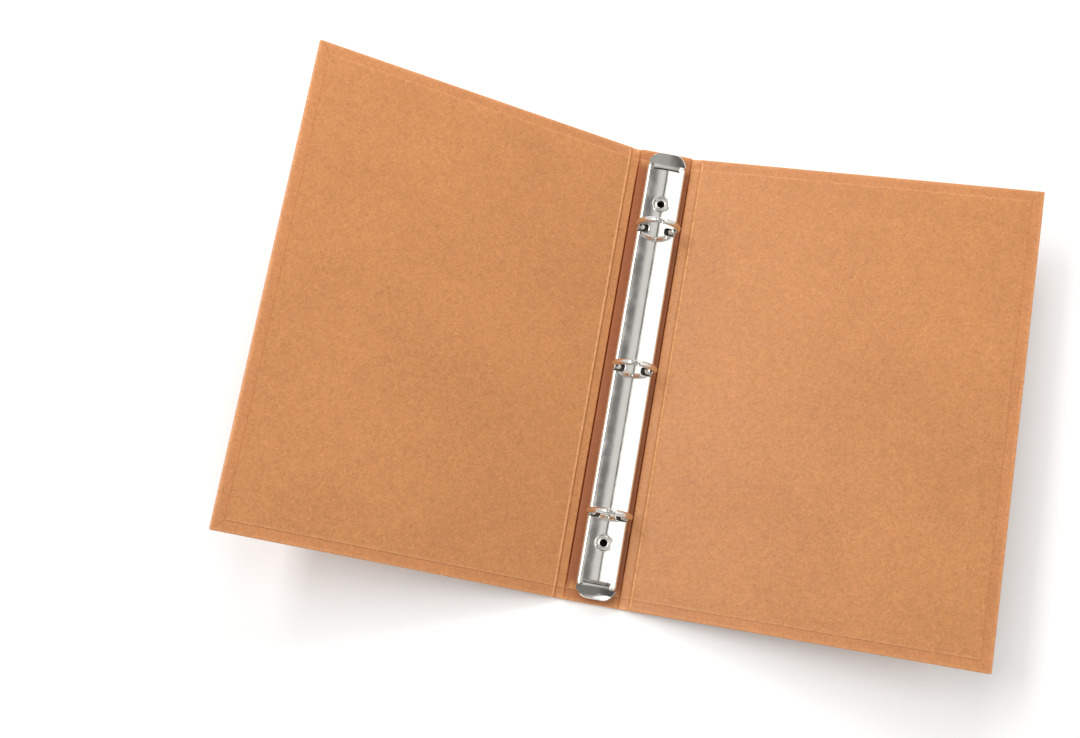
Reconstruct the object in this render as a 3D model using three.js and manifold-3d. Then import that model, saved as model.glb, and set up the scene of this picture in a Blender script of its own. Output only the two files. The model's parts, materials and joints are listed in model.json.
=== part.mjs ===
// A small three-ring binder: kraft-paper case, ring mechanism and its fastenings.
// Millimetres, +Z up. The spine lies flat on the ground with its length along Y, the front
// cover is on the -X side, the back cover on the +X side, and both covers are partly raised.
import * as THREE from 'three';
import { mergeVertices } from 'three/addons/utils/BufferGeometryUtils.js';
import Module from 'manifold-3d';

const wasm = await Module();
wasm.setup();

// ---- driving dimensions: the case ----
const BOARD_LENGTH = 222; // along the spine
const BOARD_THICKNESS = 2;
const COVER_BOARD_WIDTH = 160;
const SPINE_BOARD_WIDTH = 24.6;
const HINGE_GAP = 6.5; // paper-only stretch between the boards
const FOLD_TO_COVER = 1.8; // the paper folds this close to the cover board
const PAPER = 0.25; // thickness of the wrap and of the liner
const GLUE_GAP = 0.05; // clearance between touching layers
const TURN_IN = 15; // wrap folded over onto the inside of the boards
const LINER_MARGIN = 5; // how far the liner stops short of the edge
const FRONT_COVER_ANGLE = 22.5; // degrees that the covers are raised
const BACK_COVER_ANGLE = 14;

// ---- driving dimensions: the ring mechanism ----
const MECHANISM_OFFSET = 0.8; // sideways from the middle of the spine
const RING_SPACING = 69.85;
const RING_OUTER_DIAMETER = 21.6;
const RING_WIRE = 2.8;
const RING_CENTRE_HEIGHT = 11.6; // above the liner
const RING_OVERLAP = 0.9; // how far a half's tip runs past the middle line
const RING_LEG = 2.1; // from the blade's pivot edge to the middle of a ring's leg
const TENON_RADIUS = 1;
const TENON_HEAD_RADIUS = 1.5;
const PLATE_LENGTH = 201.2; // without its end ears
const PLATE_WIDTH = 19;
const PLATE_SHEET = 0.7;
const CREST_HEIGHT = 5.4; // outer face at the middle line, above the liner
const SHOULDER_HEIGHT = 4.55;
const SHOULDER_RADIUS = 1.8;
const HEM_HEIGHT = 2; // lower edge of the side wall, folded double
const HEM_THICKNESS = 1.25;
const EAR_LENGTH = 3; // beyond the plate's end, beside the lever
const EAR_INNER = 6.3;
const EAR_CORNER = 1.6;
const SLOT_INNER = 3.7; // the ring slots run from here out through the shoulder
const SLOT_LENGTH = 3.8;
const SLOT_FLOOR = 3.4;
const RIVET_Y = 83;
const DIMPLE_RADIUS = 4.4;
const DIMPLE_HEIGHT = 4.6;
const DIMPLE_WALL = 0.6;
// Radii and levels of a rivet. headTop is above the ground, the flange's height above its seat.
const RIVET = { barrel: 2.3, bore: 1.8, head: 3.6, headTop: 0.5, flange: 3.2, flangeHeight: 0.55 };
const BLADE_SHEET = 0.8;
const BLADE_LENGTH = 191;
const BLADE_PIVOT_X = 8.5;
const BLADE_PIVOT_HEIGHT = 2.75;
const BLADE_TILT = 7; // degrees below level while the rings are shut
const BLADE_GAP = 0.15; // each blade's distance from the middle line
const RIVET_NOTCH = 4.6; // radius cut from the blades round a rivet
const LEVER_SHEET = 0.8;
const LEVER_WIDTH = 19.6;
const LEVER_END = 108.7;
const LEVER_CORNER = 4;
const LEVER_RIM_HEIGHT = 5.9;
const LEVER_STEM = 11;
const LEVER_TONGUE = 4;

// ---- worked out from the driving dimensions ----
const WRAP_TOP = PAPER; // the outer wrap lies on the ground
const BOARD_BOTTOM = WRAP_TOP + GLUE_GAP;
const BOARD_TOP = BOARD_BOTTOM + BOARD_THICKNESS;
const TURN_IN_BOTTOM = BOARD_TOP + GLUE_GAP;
const TURN_IN_TOP = TURN_IN_BOTTOM + PAPER;
const LINER_BOTTOM = TURN_IN_TOP + GLUE_GAP;
const LINER_TOP = LINER_BOTTOM + PAPER;
const SPINE_HALF = SPINE_BOARD_WIDTH / 2;
const HALF_LENGTH = BOARD_LENGTH / 2;
const WRAP_HALF = HALF_LENGTH + GLUE_GAP + PAPER;
const HINGE_X = SPINE_HALF + HINGE_GAP - FOLD_TO_COVER;
const HINGE_Z = PAPER / 2;
const COVER_END = FOLD_TO_COVER + COVER_BOARD_WIDTH; // from the hinge line
const PLATE_HALF = PLATE_WIDTH / 2;
const PLATE_END = PLATE_LENGTH / 2;
const RING_RADIUS = (RING_OUTER_DIAMETER - RING_WIRE) / 2;
const MECHANISM_BASE = LINER_TOP + GLUE_GAP;
const BIG = 400; // cutting boxes that must run right through

const KRAFT = new THREE.Color(0.78, 0.52, 0.32);
const GREYBOARD = new THREE.Color(0.45, 0.41, 0.36);
const NICKEL = new THREE.Color(0.80, 0.78, 0.75);

// ---- solids ----
function solid(geometry) {
  geometry.deleteAttribute('normal');
  geometry.deleteAttribute('uv');
  const merged = mergeVertices(geometry, 1e-4);
  return new wasm.Manifold(new wasm.Mesh({
    numProp: 3,
    vertProperties: new Float32Array(merged.attributes.position.array),
    triVerts: new Uint32Array(merged.index.array),
  }));
}

function box([x0, y0, z0], [x1, y1, z1]) {
  const geometry = new THREE.BoxGeometry(Math.abs(x1 - x0), Math.abs(y1 - y0), Math.abs(z1 - z0));
  return solid(geometry.translate((x0 + x1) / 2, (y0 + y1) / 2, (z0 + z1) / 2));
}

// An outline in the XZ plane, extruded along Y.
function alongY(outline, y0, y1) {
  const geometry = new THREE.ExtrudeGeometry(shapeOf(outline), { depth: y1 - y0, bevelEnabled: false });
  return solid(geometry.rotateX(Math.PI / 2).translate(0, y1, 0));
}

// An outline in the YZ plane, extruded along X.
function alongX(outline, x0, x1) {
  const geometry = new THREE.ExtrudeGeometry(shapeOf(outline), { depth: x1 - x0, bevelEnabled: false });
  return solid(geometry.rotateZ(Math.PI / 2).rotateY(Math.PI / 2).translate(x0, 0, 0));
}

// An outline in the XY plane, extruded along Z.
function alongZ(outline, z0, z1) {
  const geometry = new THREE.ExtrudeGeometry(shapeOf(outline), { depth: z1 - z0, bevelEnabled: false });
  return solid(geometry.translate(0, 0, z0));
}

function shapeOf(outline) {
  return new THREE.Shape(outline.map(([a, b]) => new THREE.Vector2(a, b)));
}

function cylinder(radius, x, y, z0, z1, sides = 24) {
  const geometry = new THREE.CylinderGeometry(radius, radius, z1 - z0, sides);
  return solid(geometry.rotateX(Math.PI / 2).translate(x, y, (z0 + z1) / 2));
}

function arcPoints(cx, cy, radius, fromDegrees, toDegrees, steps) {
  return Array.from({ length: steps + 1 }, (_, i) => {
    const angle = THREE.MathUtils.degToRad(fromDegrees + ((toDegrees - fromDegrees) * i) / steps);
    return [cx + radius * Math.cos(angle), cy + radius * Math.sin(angle)];
  });
}

function roundedRectangle(halfWidth, y0, y1, radius, steps = 5) {
  return [
    ...arcPoints(halfWidth - radius, y0 + radius, radius, -90, 0, steps),
    ...arcPoints(halfWidth - radius, y1 - radius, radius, 0, 90, steps),
    ...arcPoints(radius - halfWidth, y1 - radius, radius, 90, 180, steps),
    ...arcPoints(radius - halfWidth, y0 + radius, radius, 180, 270, steps),
  ];
}

function mesh(name, body, color, metalness, roughness) {
  const { vertProperties, triVerts } = body.getMesh();
  const geometry = new THREE.BufferGeometry();
  geometry.setAttribute('position', new THREE.BufferAttribute(new Float32Array(vertProperties), 3));
  geometry.setIndex(new THREE.BufferAttribute(new Uint32Array(triVerts), 1));
  geometry.computeVertexNormals();
  const made = new THREE.Mesh(geometry, new THREE.MeshStandardMaterial({ color, metalness, roughness }));
  made.name = name;
  return made;
}

const paper = (name, body) => mesh(name, body, KRAFT, 0, 0.85);
const board = (name, body) => mesh(name, body, GREYBOARD, 0, 0.95);
const nickel = (name, body) => mesh(name, body, NICKEL, 1, 0.18);

// ---- the case ----
// One cover in its own frame: the hinge line is the origin, the ground is at -HINGE_Z, and the
// cover runs out along side * X.
function coverPieces(label, side, angle) {
  const cover = new THREE.Group();
  const level = (z) => z - HINGE_Z;
  const outer = COVER_END + GLUE_GAP + PAPER;
  const wrapShell = box(
    [side * FOLD_TO_COVER, -WRAP_HALF, level(0)],
    [side * outer, WRAP_HALF, level(TURN_IN_TOP)],
  );
  const boardRoom = box(
    [side * (FOLD_TO_COVER - BIG), -HALF_LENGTH - GLUE_GAP, level(WRAP_TOP)],
    [side * (COVER_END + GLUE_GAP), HALF_LENGTH + GLUE_GAP, level(TURN_IN_BOTTOM)],
  );
  const turnInWindow = box(
    [side * (FOLD_TO_COVER - BIG), TURN_IN - HALF_LENGTH, level(BOARD_TOP)],
    [side * (COVER_END - TURN_IN), HALF_LENGTH - TURN_IN, BIG],
  );
  const linerSheet = box(
    [side * FOLD_TO_COVER, LINER_MARGIN - HALF_LENGTH, level(LINER_BOTTOM)],
    [side * (COVER_END - LINER_MARGIN), HALF_LENGTH - LINER_MARGIN, level(LINER_TOP)],
  );
  const linerBed = box(
    [side * FOLD_TO_COVER, TURN_IN + GLUE_GAP - HALF_LENGTH, level(TURN_IN_BOTTOM)],
    [side * (COVER_END - TURN_IN - GLUE_GAP), HALF_LENGTH - TURN_IN - GLUE_GAP, level(LINER_TOP)],
  );
  const plank = box(
    [side * FOLD_TO_COVER, -HALF_LENGTH, level(BOARD_BOTTOM)],
    [side * COVER_END, HALF_LENGTH, level(BOARD_TOP)],
  );
  cover.add(
    board(`${label}_cover_board`, plank),
    paper(`${label}_cover_wrap`, wrapShell.subtract(boardRoom).subtract(turnInWindow)),
    paper(`${label}_cover_liner`, linerSheet.add(linerBed)),
  );
  cover.position.set(side * HINGE_X, 0, HINGE_Z);
  cover.rotation.y = -side * THREE.MathUtils.degToRad(angle);
  return cover;
}

// A thin strip that follows a curve in the XZ plane, so that paper bends from spine to cover.
function paperStrip(curve, thickness, halfLength, steps = 8) {
  const near = [];
  const far = [];
  for (let i = 0; i <= steps; i += 1) {
    const point = curve.getPoint(i / steps);
    const along = curve.getTangent(i / steps);
    near.push([point.x + (along.y * thickness) / 2, point.y - (along.x * thickness) / 2]);
    far.push([point.x - (along.y * thickness) / 2, point.y + (along.x * thickness) / 2]);
  }
  return alongY([...near, ...far.reverse()], -halfLength, halfLength);
}

function hingePieces(label, side, angle) {
  const tilt = THREE.MathUtils.degToRad(angle);
  const reach = FOLD_TO_COVER - GLUE_GAP;
  const onCover = (out, z) => new THREE.Vector2(
    side * (HINGE_X + out * Math.cos(tilt) - (z - HINGE_Z) * Math.sin(tilt)),
    HINGE_Z + out * Math.sin(tilt) + (z - HINGE_Z) * Math.cos(tilt),
  );
  const onSpine = (out, z) => new THREE.Vector2(side * (SPINE_HALF + out), z);
  const middle = PAPER / 2 + 0.02; // keeps the strip just off the ground
  const wrapCurve = new THREE.QuadraticBezierCurve(
    onSpine(GLUE_GAP, middle), new THREE.Vector2(side * HINGE_X, middle), onCover(reach, middle),
  );
  const linerMiddle = (LINER_TOP + LINER_BOTTOM) / 2;
  const grooveDepth = 1.3;
  const linerInset = 0.1; // the strip's ends slope, so it stops a little shorter
  const linerCurve = new THREE.CubicBezierCurve(
    onSpine(GLUE_GAP + linerInset, linerMiddle),
    onSpine(HINGE_GAP / 3, linerMiddle - grooveDepth),
    onCover(reach - HINGE_GAP / 3, linerMiddle - grooveDepth),
    onCover(reach - linerInset, linerMiddle),
  );
  return [
    paper(`${label}_hinge_wrap`, paperStrip(wrapCurve, PAPER, WRAP_HALF)),
    paper(`${label}_hinge_liner`, paperStrip(linerCurve, PAPER, HALF_LENGTH - LINER_MARGIN)),
  ];
}

function spinePieces() {
  const shell = box([-SPINE_HALF, -WRAP_HALF, 0], [SPINE_HALF, WRAP_HALF, TURN_IN_TOP]);
  const boardRoom = box(
    [-BIG, -HALF_LENGTH - GLUE_GAP, WRAP_TOP],
    [BIG, HALF_LENGTH + GLUE_GAP, TURN_IN_BOTTOM],
  );
  const turnInWindow = box([-BIG, TURN_IN - HALF_LENGTH, BOARD_TOP], [BIG, HALF_LENGTH - TURN_IN, BIG]);
  const sheet = box(
    [-SPINE_HALF, LINER_MARGIN - HALF_LENGTH, LINER_BOTTOM],
    [SPINE_HALF, HALF_LENGTH - LINER_MARGIN, LINER_TOP],
  );
  const bed = box(
    [-SPINE_HALF, TURN_IN + GLUE_GAP - HALF_LENGTH, TURN_IN_BOTTOM],
    [SPINE_HALF, HALF_LENGTH - TURN_IN - GLUE_GAP, LINER_TOP],
  );
  const plank = box([-SPINE_HALF, -HALF_LENGTH, BOARD_BOTTOM], [SPINE_HALF, HALF_LENGTH, BOARD_TOP]);
  let wrap = shell.subtract(boardRoom).subtract(turnInWindow);
  let liner = sheet.add(bed);
  let core = plank;
  for (const end of [1, -1]) {
    const place = [MECHANISM_OFFSET, end * RIVET_Y];
    const barrelHole = cylinder(RIVET.barrel + GLUE_GAP, ...place, -1, LINER_TOP + 1);
    const headRoom = cylinder(RIVET.head + GLUE_GAP, ...place, -1, RIVET.headTop + GLUE_GAP);
    const hole = barrelHole.add(headRoom);
    wrap = wrap.subtract(hole);
    liner = liner.subtract(hole);
    core = core.subtract(hole);
  }
  return [board('spine_board', core), paper('spine_wrap', wrap), paper('spine_liner', liner)];
}

// ---- the ring mechanism, in a frame whose floor is the liner ----
// Half of the plate's section, from the middle line out: outer face down, inner face back up.
function plateSection(sheet) {
  const slope = (CREST_HEIGHT - SHOULDER_HEIGHT) / (PLATE_HALF - SHOULDER_RADIUS);
  const tilt = THREE.MathUtils.radToDeg(Math.atan(slope));
  const centre = [PLATE_HALF - SHOULDER_RADIUS, SHOULDER_HEIGHT - SHOULDER_RADIUS];
  const outer = arcPoints(...centre, SHOULDER_RADIUS, 90 - tilt, 0, 5);
  const inner = arcPoints(...centre, SHOULDER_RADIUS - sheet, 0, 90 - tilt, 5);
  const hemX = PLATE_HALF - HEM_THICKNESS;
  return [
    ...outer,
    [PLATE_HALF, 0],
    [hemX, 0],
    [hemX, HEM_HEIGHT],
    [PLATE_HALF - sheet, HEM_HEIGHT],
    ...inner,
  ];
}

function coverPlate() {
  const half = plateSection(PLATE_SHEET);
  const mirrored = half.map(([x, z]) => [-x, z]).reverse();
  const outline = [[0, CREST_HEIGHT], ...half, [0, CREST_HEIGHT - PLATE_SHEET], ...mirrored];
  const full = PLATE_END + EAR_LENGTH;
  let plate = alongY(outline, -full, full);
  plate = plate.intersect(alongZ(roundedRectangle(PLATE_HALF, -full, full, EAR_CORNER), -1, BIG));
  for (const end of [1, -1]) {
    const notch = box([-EAR_INNER, end * PLATE_END, -1], [EAR_INNER, end * BIG, BIG]);
    plate = plate.subtract(notch);
    plate = dimpled(plate, end * RIVET_Y);
  }
  for (const row of [1, 0, -1]) {
    for (const side of [1, -1]) {
      const y = row * RING_SPACING;
      const slot = box(
        [side * SLOT_INNER, y - SLOT_LENGTH / 2, SLOT_FLOOR],
        [side * BIG, y + SLOT_LENGTH / 2, BIG],
      );
      plate = plate.subtract(slot);
    }
  }
  return nickel('cover_plate', plate);
}

// A round seat pressed down into the plate for a rivet's flange, with the rivet's hole in it.
function dimpled(plate, y) {
  const seat = cylinder(DIMPLE_RADIUS, 0, y, DIMPLE_HEIGHT - PLATE_SHEET, DIMPLE_HEIGHT + 0.25);
  const above = cylinder(DIMPLE_RADIUS - DIMPLE_WALL, 0, y, DIMPLE_HEIGHT, BIG);
  const hole = cylinder(RIVET.barrel + GLUE_GAP, 0, y, -1, BIG);
  return plate.add(seat).subtract(above).subtract(hole);
}

function rivet(name, y) {
  const bottom = GLUE_GAP - MECHANISM_BASE;
  const headTop = RIVET.headTop - MECHANISM_BASE;
  const seat = DIMPLE_HEIGHT + GLUE_GAP;
  const lip = RIVET.flangeHeight;
  const profile = [
    [RIVET.bore, bottom], [RIVET.head, bottom], [RIVET.head, headTop], [RIVET.barrel, headTop],
    [RIVET.barrel, seat], [RIVET.flange, seat], [RIVET.flange, seat + lip * 0.4],
    [RIVET.flange - 0.4, seat + lip], [RIVET.bore + 0.4, seat + lip], [RIVET.bore, seat + lip * 0.5],
    [RIVET.bore, bottom],
  ];
  const geometry = new THREE.LatheGeometry(profile.map(([r, z]) => new THREE.Vector2(r, z)), 24);
  const tube = solid(geometry.rotateX(Math.PI / 2).translate(0, y, 0));
  const closedHead = cylinder(RIVET.bore + 0.1, 0, y, bottom, headTop);
  return nickel(name, tube.add(closedHead));
}

// A blade lies level here, from the middle line out to its pivot edge, which is the origin.
function flatBlade(side) {
  const inner = -side * (BLADE_PIVOT_X - BLADE_GAP);
  let blade = box([inner, -BLADE_LENGTH / 2, -BLADE_SHEET / 2], [0, BLADE_LENGTH / 2, BLADE_SHEET / 2]);
  for (const end of [1, -1]) {
    const notch = cylinder(RIVET_NOTCH, -side * BLADE_PIVOT_X, end * RIVET_Y, -1, 1);
    blade = blade.subtract(notch);
  }
  return blade;
}

// A ring half's middle line in the XZ plane, from the top of the ring to its foot on the blade.
class RingHalfCurve extends THREE.Curve {
  constructor(side) {
    super();
    const steps = 14;
    const startAngle = 90 + THREE.MathUtils.radToDeg(RING_OVERLAP / RING_RADIUS);
    const round = arcPoints(0, RING_CENTRE_HEIGHT, RING_RADIUS, startAngle, -40, steps);
    const tilt = THREE.MathUtils.degToRad(BLADE_TILT);
    const top = BLADE_SHEET / 2;
    const footX = BLADE_PIVOT_X - RING_LEG * Math.cos(tilt) - top * Math.sin(tilt);
    const footZ = BLADE_PIVOT_HEIGHT - RING_LEG * Math.sin(tilt) + top * Math.cos(tilt);
    const [bendX, bendZ] = round[steps];
    const rise = 1.5;
    const leg = new THREE.CubicBezierCurve3(
      new THREE.Vector3(side * bendX, 0, bendZ),
      new THREE.Vector3(side * (bendX - 0.5), 0, bendZ - 0.6),
      new THREE.Vector3(side * (footX - rise * Math.sin(tilt)), 0, footZ + rise * Math.cos(tilt)),
      new THREE.Vector3(side * footX, 0, footZ),
    );
    const points = round.slice(0, steps).map(([x, z]) => new THREE.Vector3(side * x, 0, z));
    this.spline = new THREE.CatmullRomCurve3([...points, ...leg.getPoints(5)], false, 'centripetal');
  }

  getPoint(t, target = new THREE.Vector3()) {
    return this.spline.getPoint(t, target);
  }
}

function ringHalf(name, side, y) {
  const wireSection = new THREE.Shape(
    arcPoints(0, 0, RING_WIRE / 2, 0, 330, 11).map(([a, b]) => new THREE.Vector2(a, b)),
  );
  const sweep = { extrudePath: new RingHalfCurve(side), steps: 24, bevelEnabled: false };
  let ring = solid(new THREE.ExtrudeGeometry(wireSection, sweep));
  // The tips pass each other: each keeps one half of the wire's width beyond the middle line.
  const tipTop = RING_CENTRE_HEIGHT + RING_OUTER_DIAMETER;
  const tipCut = box(
    [-side * BIG, -side * BIG, RING_CENTRE_HEIGHT],
    [side * (RING_OVERLAP + 0.1), side * GLUE_GAP, tipTop],
  );
  const footCut = box([-BIG, -BIG, -BLADE_SHEET * 2], [BIG, BIG, BLADE_SHEET / 2 + GLUE_GAP]);
  ring = ring.subtract(tipCut).subtract(onBlade(footCut, side));
  ring = ring.add(tenon(side)).translate([0, y, 0]);
  return nickel(name, ring);
}

// The foot's tenon passes through the blade and is headed over beneath it.
function tenon(side) {
  const half = BLADE_SHEET / 2;
  const shank = cylinder(TENON_RADIUS, -side * RING_LEG, 0, -half - 0.3, half + GLUE_GAP + 0.3, 12);
  const head = cylinder(TENON_HEAD_RADIUS, -side * RING_LEG, 0, -half - GLUE_GAP - 0.4, -half - GLUE_GAP, 12);
  return onBlade(shank.add(head), side);
}

function onBlade(body, side) {
  return body.rotate([0, -side * BLADE_TILT, 0]).translate([side * BLADE_PIVOT_X, 0, BLADE_PIVOT_HEIGHT]);
}

function blade(name, side) {
  let body = flatBlade(side);
  for (const row of [1, 0, -1]) {
    const hole = cylinder(TENON_RADIUS + GLUE_GAP, -side * RING_LEG, row * RING_SPACING, -1, 1, 12);
    body = body.subtract(hole);
  }
  return nickel(name, onBlade(body, side));
}

// The lever at the +Y end; the other end's is the same, turned round.
function lever(name, end) {
  const tongueTip = 91;
  const webInner = 97;
  const stemTop = 3.5;
  const stemBottom = stemTop - LEVER_SHEET;
  const tongueBottom = 0.35;
  const tongueTop = tongueBottom + LEVER_SHEET;
  const inside = [
    [tongueTip, tongueBottom], [webInner + LEVER_SHEET, tongueBottom], [webInner + LEVER_SHEET, stemBottom],
    [PLATE_END + 1, stemBottom], [PLATE_END + 1, stemTop], [webInner, stemTop],
    [webInner, tongueTop], [tongueTip, tongueTop],
  ];
  const tongue = alongX(inside, -LEVER_TONGUE / 2, LEVER_TONGUE / 2);
  // The lip: level beside the ears, then curling up to the rim.
  const curlRadius = 3.4;
  const curlCentre = [LEVER_END - LEVER_SHEET / 2 - curlRadius, stemBottom + LEVER_SHEET / 2 + curlRadius];
  const lipSection = [
    [PLATE_END + 0.3, stemBottom],
    ...arcPoints(...curlCentre, curlRadius + LEVER_SHEET / 2, -90, -15, 7),
    [LEVER_END, LEVER_RIM_HEIGHT - 0.3],
    [LEVER_END - LEVER_SHEET / 2, LEVER_RIM_HEIGHT],
    [LEVER_END - LEVER_SHEET, LEVER_RIM_HEIGHT - 0.3],
    ...arcPoints(...curlCentre, curlRadius - LEVER_SHEET / 2, -15, -90, 7),
    [PLATE_END + 0.3, stemTop],
  ];
  const earClear = PLATE_END + EAR_LENGTH + 0.4;
  const rounded = alongZ(roundedRectangle(LEVER_WIDTH / 2, PLATE_END - 5, LEVER_END, LEVER_CORNER), -1, BIG);
  const plan = rounded.subtract(box([-BIG, -BIG, -BIG], [BIG, earClear, BIG]));
  const stemPlan = box([-LEVER_STEM / 2, PLATE_END, -1], [LEVER_STEM / 2, earClear + 3, BIG]);
  const lip = alongX(lipSection, -LEVER_WIDTH / 2, LEVER_WIDTH / 2).intersect(plan.add(stemPlan));
  const body = lip.add(tongue).rotate([0, 0, end > 0 ? 0 : 180]);
  return nickel(name, body);
}

function mechanismPieces() {
  const mechanism = new THREE.Group();
  mechanism.add(coverPlate());
  mechanism.add(blade('left_blade', -1), blade('right_blade', 1));
  for (const [row, label] of [[1, 'upper'], [0, 'middle'], [-1, 'lower']]) {
    mechanism.add(ringHalf(`${label}_ring_left`, -1, row * RING_SPACING));
    mechanism.add(ringHalf(`${label}_ring_right`, 1, row * RING_SPACING));
  }
  mechanism.add(lever('upper_lever', 1), lever('lower_lever', -1));
  mechanism.add(rivet('upper_rivet', RIVET_Y), rivet('lower_rivet', -RIVET_Y));
  mechanism.position.set(MECHANISM_OFFSET, 0, MECHANISM_BASE);
  return mechanism;
}

const binder = new THREE.Group();
binder.add(...spinePieces());
binder.add(coverPieces('front', -1, FRONT_COVER_ANGLE), coverPieces('back', 1, BACK_COVER_ANGLE));
binder.add(...hingePieces('front', -1, FRONT_COVER_ANGLE), ...hingePieces('back', 1, BACK_COVER_ANGLE));
binder.add(mechanismPieces());

export default binder;
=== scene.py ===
import json
import math

import bmesh
import bpy
import numpy as np
from mathutils import Matrix, Vector


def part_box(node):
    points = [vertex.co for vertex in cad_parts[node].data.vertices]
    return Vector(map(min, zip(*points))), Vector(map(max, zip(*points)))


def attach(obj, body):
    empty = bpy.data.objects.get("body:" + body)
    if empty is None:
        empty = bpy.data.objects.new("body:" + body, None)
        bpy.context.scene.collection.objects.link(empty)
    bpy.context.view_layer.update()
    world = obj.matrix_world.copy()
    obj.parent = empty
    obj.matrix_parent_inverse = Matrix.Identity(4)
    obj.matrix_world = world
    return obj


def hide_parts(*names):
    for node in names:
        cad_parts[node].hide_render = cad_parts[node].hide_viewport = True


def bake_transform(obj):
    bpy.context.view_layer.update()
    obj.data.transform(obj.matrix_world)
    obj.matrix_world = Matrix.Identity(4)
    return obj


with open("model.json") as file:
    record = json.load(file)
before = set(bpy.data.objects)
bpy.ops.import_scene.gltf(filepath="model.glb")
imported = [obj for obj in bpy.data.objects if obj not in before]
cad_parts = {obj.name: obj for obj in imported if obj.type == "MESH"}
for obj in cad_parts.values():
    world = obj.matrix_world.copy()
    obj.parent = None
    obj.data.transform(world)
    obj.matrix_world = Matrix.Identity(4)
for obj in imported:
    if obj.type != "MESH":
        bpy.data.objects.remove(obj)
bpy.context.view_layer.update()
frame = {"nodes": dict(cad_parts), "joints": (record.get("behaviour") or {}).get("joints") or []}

MM = 0.001


# ---- sizes, from the frame where it has them ----
def node_box(name):
    low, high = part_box(name)
    return np.array(low) / MM, np.array(high) / MM


def joint(name):
    return next(j for j in frame["joints"] if j["name"] == name)


FRONT, BACK = -1, 1  # the sides of the spine, as signs of X
LABEL = {FRONT: "front", BACK: "back"}
COVER_ANGLE = {
    side: math.radians(joint(f"{label}_cover_opening")["range_deg"][1]) for side, label in LABEL.items()
}
HINGE_X, _, HINGE_Z = np.array(joint("back_cover_opening")["pos_m"]) / MM
SPINE_HALF, HALF_LENGTH, BOARD_TOP = node_box("spine_board")[1]

PAPER = 0.25
GLUE_GAP = 0.05
COVER_BOARD_WIDTH = 160
FOLD_TO_COVER = 1.8  # from the hinge line to the cover board
TURN_IN = 15
LINER_MARGIN = 5
FOLD_RADIUS = 0.4  # of the paper's middle layer round a board's edge
CORNER_RADIUS = 0.6
MITRE_GAP = 0.04
MITRE_OPENING = 0.004  # how much wider the gap gets with each millimetre inward
MITRE_START = 0.55  # there is no gap nearer than this to the panel's border
FLAP_COLUMNS = [0.6, 1.5, 3.0, 4.5, 6.5, 9.0, 12.0]  # a turned-in edge has points this far in
FLAP_END = TURN_IN + GLUE_GAP + PAPER / 2 - FOLD_RADIUS
GROOVE_DEPTH = 1.15  # how far the paper is pressed down between the boards
GROOVE_FALL = 0.7  # the length over which it goes down, beside the spine board
GROOVE_FLOOR = 1.2  # from the spine board's edge to where it starts to rise
CREASE_DEPTH = 0.2  # the sharper line beside the spine board
CREASE_OUT = 0.5  # from the spine board's edge to that line
CREASE_WIDTH = 0.32
LINER_CREASE = 0.7  # how much deeper the liner alone is creased there
LINER_STEP = 0.1  # how much lower the liner lies inside the turned-in edges
LINER_STEP_WIDTH = 1.5
RIDGE_HEIGHT = 0.4  # the paper stands up along the edge of a cover board
RIDGE_OUT = 0.2  # from the cover board's edge to the top of that ridge
LINE_WIDTH = 0.5  # of a ridge, of a line that is rubbed pale, and of the painted highlight along a ridge
OUTER_GROOVE = 0.25  # the same stretch seen from outside
OUTER_SLOPE = 1.5  # the length over which the outer paper rises into it
BEND_LENGTH = 1.3  # the paper bends over this stretch, from the hinge line out
SEAM = 11.5  # the spine's sheets meet the covers' sheets this far from the middle

COVER_START = HINGE_X + FOLD_TO_COVER
COVER_END = COVER_START + COVER_BOARD_WIDTH
WRAP_LEVEL = PAPER / 2  # the paper's middle layer, under the boards
TURN_IN_LEVEL = BOARD_TOP + GLUE_GAP + PAPER / 2
LINER_RISE = PAPER + GLUE_GAP  # from the turn-in's middle layer to the liner's
PANEL_END = COVER_END + GLUE_GAP + PAPER / 2 - FOLD_RADIUS
PANEL_HALF = HALF_LENGTH + GLUE_GAP + PAPER / 2 - FOLD_RADIUS

plate_low, plate_high = node_box("cover_plate")
MECHANISM = np.array([(plate_low[0] + plate_high[0]) / 2, 0, plate_low[2]])
PLATE_HALF = (plate_high[0] - plate_low[0]) / 2
CREST_HEIGHT = plate_high[2] - plate_low[2]
EAR_END = plate_high[1]
EAR_LENGTH = 3
EAR_INNER = 6.3
EAR_CORNER = 1.6
PLATE_END = EAR_END - EAR_LENGTH
PLATE_SHEET = 0.6
SHOULDER_HEIGHT = 4.55
SHOULDER_RADIUS = 1.8
SLOPE_POINTS = 27
SHOULDER_STEPS = 9
HEM_HEIGHT = 2
HEM_WIDTH = 1.25
CREST_ROUNDING = 0.7
SLOT_INNER = 3.7
SLOT_LENGTH = 3.8
SLOT_FLOOR = 3.4
SLOT_CORNER = 1.4
NOTCH_CORNER = 0.7  # of the notch between two ears
EAR_ROUNDING = 1.1  # the length over which an ear's end is rounded down
EAR_DROP = 0.5
RIVET_Y = sum(node_box("upper_rivet"))[1] / 2
RIVET_BARREL = 2.3
RIVET_BORE = 1.65
RIVET_HEAD = 3.6
RIVET_HEAD_TOP = 0.5  # above the ground, inside the spine
RIVET_DOME = 0.12  # how much the head under the spine swells towards its middle
RIVET_EDGE = 0.25  # the round edge of that head
RIVET_PUNCH = 0.18  # depth of the mark that the riveting tool leaves in it
RIVET_PUNCH_RADIUS = 0.8
RIVET_SEAT_GAP = 0.03  # between the dimple and the rim
RIVET_FLANGE = 2.6
RIVET_FLANGE_HEIGHT = 0.75
RIVET_RIM_LIFT = 0.1  # the rolled rim starts this far above its seat
RIVET_SIDES = 56
DIMPLE_RADIUS = 4.1
DIMPLE_FLOOR = 3.2  # radius of the flat seat in the middle of a dimple
DIMPLE_HEIGHT = 4.45
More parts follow.
